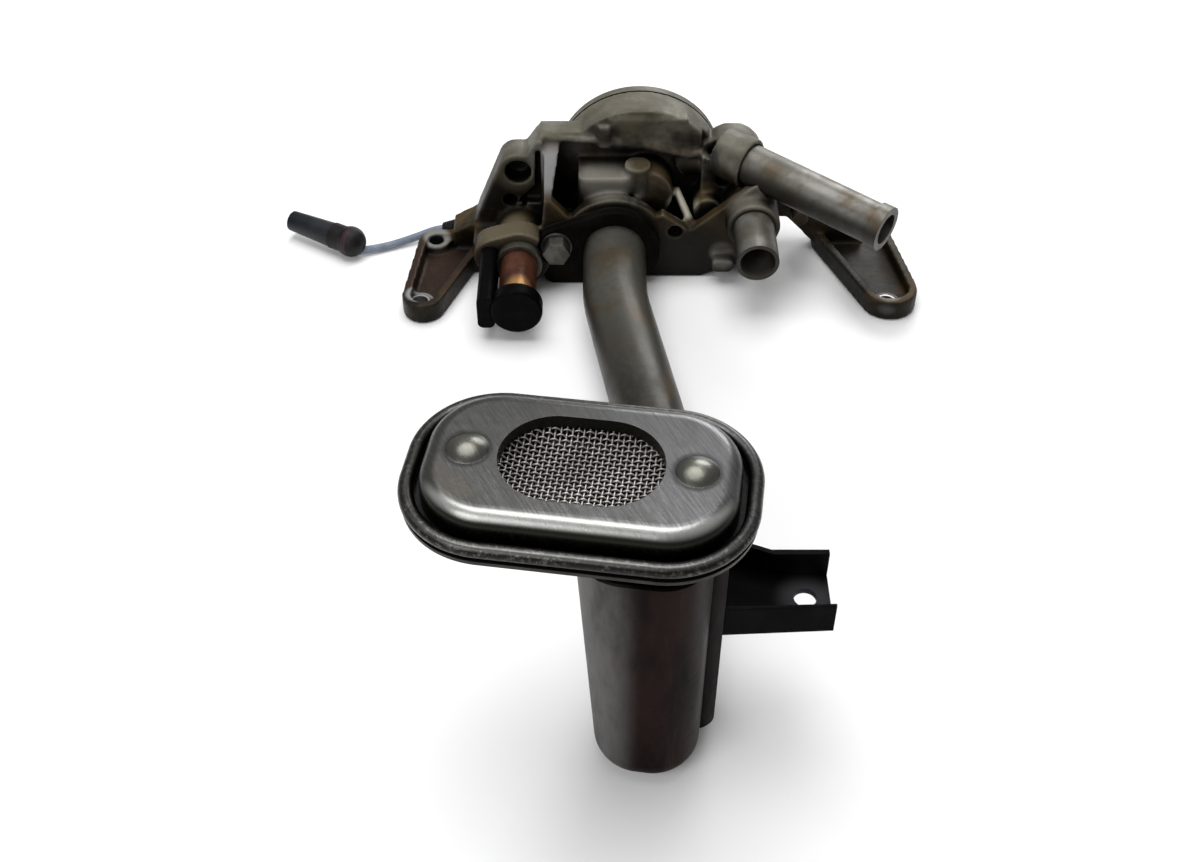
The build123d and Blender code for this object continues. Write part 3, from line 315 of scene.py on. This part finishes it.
def brushed_pan():
    """The strainer's lid: brushed, with a painted sheen that makes it brighter to the right, a painted
    highlight along its front edge, painted shade on its sides, around its dimples and in hollows, bright
    dimple tops that are part polish and part painted highlight, black in its groove, and a speckled rim
    whose speckles are part wear and part painted glints.
    """
    s = Surface("pan_steel")
    strokes = s.noise(520, 5, 0.7, stretch=(5.0, 0.20, 1.0), turn=math.radians(27))
    fine = s.noise(1500, 3, 0.7, stretch=(3.0, 0.10, 1.0), turn=math.radians(31))
    clouds = s.noise(38, 4, 0.6, distortion=0.3)
    # Painted sheen: the brushed lid brighter to the right
    dull = s.mix(s.band(strokes, 0.34, 0.68), (0.040, 0.040, 0.038), (0.085, 0.084, 0.080))
    bright = s.mix(s.band(strokes, 0.34, 0.68), (0.066, 0.066, 0.068), (0.150, 0.150, 0.153))
    along = s.maths("ADD", s.across("X"), s.maths("MULTIPLY", s.maths("SUBTRACT", clouds, 0.5), 70 * MM))
    color = s.mix(s.band(along, -45 * MM, 5 * MM), dull, bright)
    color = s.mix(s.band(clouds, 0.50, 0.68, 0, 0.45), color, (0.045, 0.044, 0.040))
    color = s.mix(s.band(s.noise(55, 3, 0.6), 0.60, 0.72, 0, 0.30), color, (0.080, 0.062, 0.040))
    # Painted highlight along the front edge, where the lid turns towards the front
    color = s.mix(s.band(s.facing("Y"), -0.12, -0.38), color, (0.42, 0.42, 0.40))
    # Painted shade on the lid's sides
    color = s.mix(s.band(s.facing("Z"), 0.88, 0.45), color, (0.014, 0.014, 0.010))
    polished = 0.0
    for place in DIMPLES:
        # Around each dimple: a ring of painted shade at its foot, a mid tone up its side, and a bright top
        # that is part polish, part painted highlight
        color = s.mix(s.maths("MULTIPLY", s.near(place, 6.3, 7.8), 0.7), color, (0.014, 0.014, 0.013))
        color = s.mix(s.near(place, 5.2, 6.2), color, (0.080, 0.080, 0.070))
        color = s.mix(s.near(place, 0.5, 5.0), color, (0.200, 0.195, 0.165))
        polished = s.maths("MAXIMUM", s.near(place, 5.5, 6.3), polished)
    groove = s.band(s.across("Z"), GROOVE_TOP, GROOVE_BOTTOM)
    # Rim speckles: part wear, part painted glints
    paler_part = s.band(s.noise(700, 4, 0.8), 0.52, 0.62)
    rim = s.mix(paler_part, (0.010, 0.009, 0.008), (0.075, 0.072, 0.066))
    color = s.mix(groove, color, rim)
    # Painted shade in hollows
    color = s.mix(s.band(s.crevice(6 * MM), 0.88, 0.40), color, (0.0015, 0.001, 0.001))
    s.bump([(strokes, 0.010 * MM), (fine, 0.008 * MM), (s.noise(260, 3, 0.6), 0.06 * MM)], 0.3 * MM)
    rough = s.maths("MULTIPLY", s.band(strokes, 0.3, 0.7, 0.36, 0.26), s.band(polished, 0, 1, 1, 0.95))
    return s.finish(color, 0.75, rough)


def riser_steel():
    """The riser's pressings: red-brown to black, with a painted reflection that makes them satin grey where
    they curve away to the sides, and painted shade in hollows.
    """
    s = Surface("riser_steel")
    patches = s.noise(60, 5, 0.65, stretch=(1.0, 1.0, 0.3))
    streaks = s.noise(190, 4, 0.7, stretch=(1.6, 1.6, 0.12))
    # Painted reflection: satin grey towards both sides, leaving the middle dark
    left = s.band(s.across("X"), -10 * MM, -21 * MM)
    right = s.band(s.across("X"), 2 * MM, 11 * MM, 0, 0.45)
    middle = s.mix(s.band(patches, 0.35, 0.65), (0.0030, 0.0010, 0.0007), (0.0120, 0.0045, 0.0032))
    side_reflection = s.mix(s.band(patches, 0.35, 0.65), (0.050, 0.048, 0.047), (0.105, 0.102, 0.100))
    color = s.mix(s.maths("MAXIMUM", left, right), middle, side_reflection)
    color = s.mix(s.band(streaks, 0.55, 0.72, 0, 0.15), color, (0.050, 0.042, 0.038))
    # Painted shade in hollows
    color = s.mix(s.band(s.crevice(8 * MM), 0.80, 0.30), color, (0.003, 0.002, 0.002))
    s.bump([(streaks, 0.04 * MM), (s.noise(320, 4, 0.7), 0.12 * MM)], 0.3 * MM)
    return s.finish(color, 0.0, s.band(patches, 0.3, 0.7, 0.55, 0.42), shine=0.05)


def dark_paint(name, dark, paler_part, rough, pale_spot=None):
    """Near-black coated steel with a little wear, paler around a place where one is given."""
    s = Surface(name)
    patches = s.noise(80, 4, 0.6)
    color = s.mix(s.band(patches, 0.4, 0.7), dark, paler_part)
    color = s.mix(s.band(s.noise(500, 3, 0.7), 0.66, 0.76, 0, 0.25), color, (0.02, 0.016, 0.012))
    if pale_spot:
        place, inside, outside, shade = pale_spot
        color = s.mix(s.near(place, inside, outside), color, shade)
    s.bump([(s.noise(900, 3, 0.6), 0.05 * MM)], 0.5 * MM)
    roughness = s.band(patches, 0.3, 0.7, rough + 0.1, rough - 0.05)
    return s.finish(color, 0.0, roughness, shine=0.03)


def plastic(name, dark, pale, rough, depth=0.04, shine=0.3):
    s = Surface(name)
    patches = s.noise(120, 4, 0.6)
    color = s.mix(s.band(patches, 0.4, 0.7), dark, pale)
    s.bump([(s.noise(1100, 2, 0.6), depth * MM)], 0.4 * MM)
    return s.finish(color, 0.0, s.band(patches, 0.3, 0.7, rough + 0.1, rough - 0.05), shine)


def boot_rubber():
    """Black rubber, with the reddish band of a clamp ring across the boot's bulge."""
    s = Surface("boot_rubber")
    along = s.past(BOOT_CENTRE, PLUG_WAY)
    band = s.maths("MULTIPLY", s.band(along, -1.6 * MM, -1.0 * MM), s.band(along, 1.4 * MM, 0.8 * MM))
    color = s.mix(s.band(s.noise(120, 4, 0.6), 0.4, 0.7), (0.004, 0.003, 0.0035), (0.010, 0.0075, 0.009))
    color = s.mix(s.maths("MULTIPLY", band, 0.7), color, (0.040, 0.017, 0.020))
    s.bump([(s.noise(700, 3, 0.6), 0.08 * MM)], 0.4 * MM)
    return s.finish(color, 0.0, 0.5, shine=0.2)


def plug_shell():
    """Dark grey moulding that ends in a black mouth."""
    s = Surface("plug_shell")
    color = s.mix(s.band(s.noise(120, 4, 0.6), 0.4, 0.7), (0.007, 0.008, 0.010), (0.016, 0.018, 0.022))
    mouth = s.band(s.past(BOOT_CENTRE, PLUG_WAY), 25.5 * MM, 27.5 * MM)
    color = s.mix(mouth, color, (0.004, 0.005, 0.010))
    s.bump([(s.noise(900, 2, 0.6), 0.05 * MM)], 0.5 * MM)
    return s.finish(color, 0.0, 0.42, shine=0.25)


def copper_can():
    """The solenoid's can: dark copper red, with a painted highlight on top beside its cap."""
    s = Surface("can_copper")
    patches = s.noise(110, 4, 0.6)
    color = s.mix(s.band(patches, 0.35, 0.65), (0.050, 0.015, 0.008), (0.130, 0.048, 0.026))
    # Painted highlight on top of the can beside its cap
    color = s.mix(s.near(CAN_HIGHLIGHT, 1.5, 7.5), color, (0.420, 0.225, 0.085))
    s.bump([(s.noise(900, 3, 0.6), 0.03 * MM)], 0.4 * MM)
    return s.finish(color, 0.55, s.band(patches, 0.3, 0.7, 0.42, 0.30))


# Places where the casting takes another tone, some of them painted shade and painted light as marked: place,
# inner and outer reach in millimetres, share and shade
TINT_AND_PAINTED_LIGHT_SPOTS = (
    # Painted shade on the front wall right of the pipe
    ((16, 18, 10), 12, 30, 0.75, (0.008, 0.0075, 0.005)),
    # Painted shade around the recess above the pipe's flange
    ((-16, 18, 36), 6, 14, 0.6, (0.008, 0.0075, 0.005)),
    # Pale warm valve boss: part its tint, part painted light
    ((-59, 20, 27), 9, 17, 0.9, (0.110, 0.092, 0.060)),
    ((86, 22, 5), 16, 27, 0.8, (0.006, 0.0055, 0.003)),
    ((-93, 20, 6), 16, 25, 0.7, (0.030, 0.014, 0.009)),
    ((-56, 38, 43), 7, 12, 0.7, (0.060, 0.052, 0.034)),
    ((-97, 0, 5), 5.6, 7.2, 0.9, (0.240, 0.240, 0.250)),
    ((97, 0, 5), 5.6, 7.2, 0.8, (0.180, 0.180, 0.175)),
    ((-92.5, 39.5, 7), 4.5, 7.0, 0.8, (0.200, 0.200, 0.190)),
    # Pale block above the pipe: part its tint, part painted light
    ((-20, 33, 45), 7, 14, 0.8, (0.200, 0.190, 0.165)),
    ((12.5, 33, 30), 5, 8, 0.9, (0.420, 0.400, 0.320)),
    ((22, 36, 33), 3, 7, 0.6, (0.150, 0.110, 0.055)),
    ((-42, 33, 47), 6, 13, 0.6, (0.290, 0.290, 0.300)),
    ((29, 20, 13), 4, 7, 0.6, (0.180, 0.170, 0.150)),
    ((41, 20, 38), 6, 14, 0.6, (0.150, 0.140, 0.115)),
)

# The paler patch around the bracket's hole, and the painted highlight on the can, in millimetres
BRACKET_HOLE = ((40, -193.5, 47), 3.5, 11, (0.034, 0.034, 0.037))
CAN_HIGHLIGHT = (-54.5, -10.5, 22.6)

MATERIALS = {
    "cast_alloy": cast_metal(),
    "rotor_steel": satin_steel(
        "rotor_steel", (0.24, 0.23, 0.21), (0.13, 0.12, 0.11), (0.06, 0.05, 0.03), rough=0.34, metallic=0.8,
    ),
    "shaft_steel": satin_steel(
        "shaft_steel", (0.44, 0.43, 0.41), (0.31, 0.30, 0.28), (0.13, 0.10, 0.08), rough=0.26, metallic=0.8,
    ),
    "bush_bronze": satin_steel(
        "bush_bronze", (0.48, 0.31, 0.15), (0.34, 0.21, 0.10), (0.13, 0.08, 0.03), rough=0.34, metallic=0.8,
    ),
    "bolt_steel": satin_steel(
        "bolt_steel", (0.110, 0.106, 0.090), (0.050, 0.047, 0.037), (0.02, 0.016, 0.010),
        rough=0.38, scale=140,
    ),
    "pipe_steel": pipe_steel(),
    "flange_steel": dark_paint("flange_steel", (0.002, 0.0018, 0.0015), (0.006, 0.005, 0.004), rough=0.50),
    "gasket_fibre": plastic(
        "gasket_fibre", (0.004, 0.0035, 0.003), (0.010, 0.009, 0.007), rough=0.7, depth=0.10, shine=0.1,
    ),
    "pan_steel": brushed_pan(),
    "base_steel": satin_steel(
        "base_steel", (0.036, 0.034, 0.030), (0.014, 0.012, 0.010), (0.010, 0.008, 0.005), rough=0.40,
    ),
    "screen_steel": satin_steel(
        "screen_steel", (0.50, 0.475, 0.46), (0.34, 0.32, 0.31), (0.27, 0.25, 0.24),
        rough=0.34, metallic=0.7, round_edges=None, hollow_shade=0.35,
    ),
    "riser_steel": riser_steel(),
    "bracket_steel": dark_paint(
        "bracket_steel", (0.0012, 0.0010, 0.0012), (0.003, 0.0026, 0.003), rough=0.45, pale_spot=BRACKET_HOLE,
    ),
    "can_copper": copper_can(),
    "collar_steel": satin_steel(
        "collar_steel", (0.15, 0.14, 0.12), (0.075, 0.066, 0.052), (0.05, 0.036, 0.02), rough=0.34,
    ),
    "cap_plastic": plastic(
        "cap_plastic", (0.0010, 0.0009, 0.0009), (0.0025, 0.0022, 0.0022), rough=0.42, shine=0.03,
    ),
    "plug_shell": plug_shell(),
    "coil_copper": satin_steel(
        "coil_copper", (0.43, 0.20, 0.10), (0.30, 0.12, 0.06), (0.10, 0.05, 0.02), rough=0.35, metallic=0.8,
    ),
    "spring_steel": satin_steel(
        "spring_steel", (0.34, 0.33, 0.32), (0.22, 0.21, 0.20), (0.10, 0.08, 0.06), rough=0.30, metallic=0.8,
    ),
    "lead_sleeve": plastic("lead_sleeve", (0.135, 0.160, 0.205), (0.215, 0.245, 0.300), rough=0.40),
    "boot_rubber": boot_rubber(),
    "sleeve_steel": satin_steel(
        "sleeve_steel", (0.42, 0.41, 0.40), (0.29, 0.28, 0.27), (0.16, 0.13, 0.10), rough=0.34,
    ),
}
COVER_LOOK = cast_metal(edge_wear_and_highlight=False)


# Mesh tools

def link(name, mesh, slot, body="pump_body"):
    piece = bpy.data.objects.new(name, mesh)
    bpy.context.scene.collection.objects.link(piece)
    piece.data.materials.clear()
    piece.data.materials.append(MATERIALS[slot])
    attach(piece, body)
    return piece


def smooth(mesh):
    for face in mesh.polygons:
        face.use_smooth = True
    return mesh


def softened(node, voxel, rounds):
    """A CAD node's mesh with its edges and corners rounded, as sand casting leaves them."""
    source = bpy.data.objects.new("source", NODES[node].data.copy())
    bpy.context.scene.collection.objects.link(source)
    remesh = source.modifiers.new("Remesh", "REMESH")
    remesh.mode = "VOXEL"
    remesh.voxel_size = voxel
    relax = source.modifiers.new("Relax", "SMOOTH")
    relax.iterations = rounds
    relax.factor = 0.5
    graph = bpy.context.evaluated_depsgraph_get()
    mesh = bpy.data.meshes.new_from_object(source.evaluated_get(graph))
    bpy.data.objects.remove(source)
    return smooth(mesh)


def tube(bm, points, radius, sides=6):
    """Adds a round bar along the points to a bmesh, closed at its ends."""
    rings = []
    for k, point in enumerate(points):
        before = points[max(k - 1, 0)]
        after = points[min(k + 1, len(points) - 1)]
        way = (after - before).normalized()
        side = way.cross(Vector((0, 0, 1))).normalized()
        up = side.cross(way)
        ring = []
        for j in range(sides):
            turn = 2 * math.pi * j / sides
            ring.append(bm.verts.new(point + radius * (math.cos(turn) * side + math.sin(turn) * up)))
        rings.append(ring)
    for a, b in zip(rings, rings[1:]):
        for j in range(sides):
            bm.faces.new((a[j], b[j], b[(j + 1) % sides], a[(j + 1) % sides]))
    bm.faces.new(rings[0])
    bm.faces.new(rings[-1][::-1])


# Detailed pieces

def woven_screen():
    """Plain woven wire in the window, dished below the lid."""
    bm = bmesh.new()
    place = strainer_place()
    reach_x = WINDOW_HX + SCREEN_TUCK
    reach_y = WINDOW_HY + SCREEN_TUCK

    def sag(x, y):
        over = max(abs(x) - (WINDOW_HX - WINDOW_HY), 0)
        share = min(math.hypot(over, y) / reach_y, 1)
        return SCREEN_TOP - SCREEN_DISH * (1 - share ** 4) - SCREEN_DROP

    def half_length(offset, along_x):
        if along_x:
            return reach_x - reach_y + math.sqrt(max(reach_y ** 2 - offset ** 2, 0))
        over = max(abs(offset) - (reach_x - reach_y), 0)
        return math.sqrt(max(reach_y ** 2 - over ** 2, 0))

    def wire(offset, index, along_x):
        half = half_length(offset, along_x)
        steps = max(int(2 * half / WIRE_PITCH * WIRE_STEPS), WIRE_STEPS)
        points = []
        for k in range(steps + 1):
            run = -half + 2 * half * k / steps
            x, y = (run, offset) if along_x else (offset, run)
            side = 1 if (index % 2 == 0) == along_x else -1
            wave = side * WIRE_R * math.cos(math.pi * run / WIRE_PITCH)
            points.append(place @ Vector((x, y, sag(x, y) + wave)))
        tube(bm, points, WIRE_DRAWN_R)

    for along_x, reach in ((True, reach_y), (False, reach_x)):
        count = int(reach / WIRE_PITCH)
        for index in range(-count, count + 1):
            offset = index * WIRE_PITCH
            if half_length(offset, along_x) > WIRE_PITCH:
                wire(offset, index, along_x)
    mesh = bpy.data.meshes.new("woven_screen")
    bm.to_mesh(mesh)
    bm.free()
    piece = link("woven_screen", smooth(mesh), "screen_steel")
    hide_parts("strainer_screen")


def housing_casting():
    piece = link("housing_casting", softened("pump_housing", CAST_VOXEL, CAST_ROUNDS), "cast_alloy")
    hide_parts("pump_housing")


def piston_spring():
    """The control valve's spring, which on the real pump shortens as its piston comes in."""
    mesh = NODES["control_spring"].data.copy()
    piece = link("piston_spring", smooth(mesh), "spring_steel")
    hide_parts("control_spring")
    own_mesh(piece)


def signal_lead():
    """The blue-grey lead that lies from the housing to its plug."""
    line = bpy.data.curves.new("signal_lead", "CURVE")
    line.dimensions = "3D"
    line.resolution_u = 16
    line.bevel_depth = LEAD_DIAMETER / 2
    line.bevel_resolution = 6
    line.use_fill_caps = True
    spline = line.splines.new("NURBS")
    spline.points.add(len(LEAD_ROUTE) - 1)
    for point, place in zip(spline.points, LEAD_ROUTE):
        point.co = (*(Vector(place) * MM), 1)
    spline.order_u = 3
    spline.use_endpoint_u = True
    piece = link("signal_lead", line, "lead_sleeve")
    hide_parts("lead")
    return piece


def dress_cad():
    """Gives every carried-over node its material and smooth shading within 30 degrees."""
    for entry in frame["record"]["subparts"]:
        node = NODES[entry["node"]]
        node.data.materials.clear()
        look = COVER_LOOK if entry["node"] == "pump_cover" else MATERIALS[entry["material_slot"]]
        node.data.materials.append(look)
        node.data.shade_smooth()
        split = node.modifiers.new("Edges", "EDGE_SPLIT")
        split.split_angle = math.radians(30)


def studio():
    """A pale floor, soft lamps and the photograph's camera."""
    mesh = bpy.data.meshes.new("floor")
    corners = [(x * FLOOR_HALF, y * FLOOR_HALF, 0) for x, y in ((-1, -1), (1, -1), (1, 1), (-1, 1))]
    mesh.from_pydata(corners, [], [(0, 1, 2, 3)])
    floor = bpy.data.objects.new("floor", mesh)
    bpy.context.scene.collection.objects.link(floor)
    floor.location.z = -FLOOR_DROP
    paper = Surface("floor_paper")
    paper.finish((0.90, 0.90, 0.90), 0.0, 0.9)
    mesh.materials.append(paper.material)

    world = bpy.data.worlds.new("studio")
    bpy.context.scene.world = world
    world.use_nodes = True
    world.node_tree.nodes["Background"].inputs["Color"].default_value = (1, 1, 1, 1)
    world.node_tree.nodes["Background"].inputs["Strength"].default_value = 0.30

    lamps = (
        ("top", (-0.10, 0.05, 0.90), 0.8, 7.0),
        ("front", (-0.45, -0.75, 0.55), 0.6, 3.5),
        ("back", (0.25, 0.70, 0.45), 0.5, 4.0),
    )
    for name, place, size, power in lamps:
        lamp = bpy.data.lights.new(name, "AREA")
        lamp.shape = "DISK"
        lamp.size = size
        lamp.energy = power
        made = bpy.data.objects.new(name, lamp)
        bpy.context.scene.collection.objects.link(made)
        made.location = place
        aim = LAMP_TARGET - Vector(place)
        made.rotation_euler = aim.to_track_quat("-Z", "Y").to_euler()

    camera = bpy.data.cameras.new("camera")
    camera.sensor_width = 36
    camera.lens = CAMERA_LENS
    eye = bpy.data.objects.new("camera", camera)
    bpy.context.scene.collection.objects.link(eye)
    eye.location = CAMERA_PLACE
    eye.rotation_euler = (CAMERA_TILT, 0, 0)
    bpy.context.scene.camera = eye
    bpy.context.scene.view_settings.view_transform = "Standard"


studio()
lead = signal_lead()
dress_cad()
woven_screen()
housing_casting()
piston_spring()
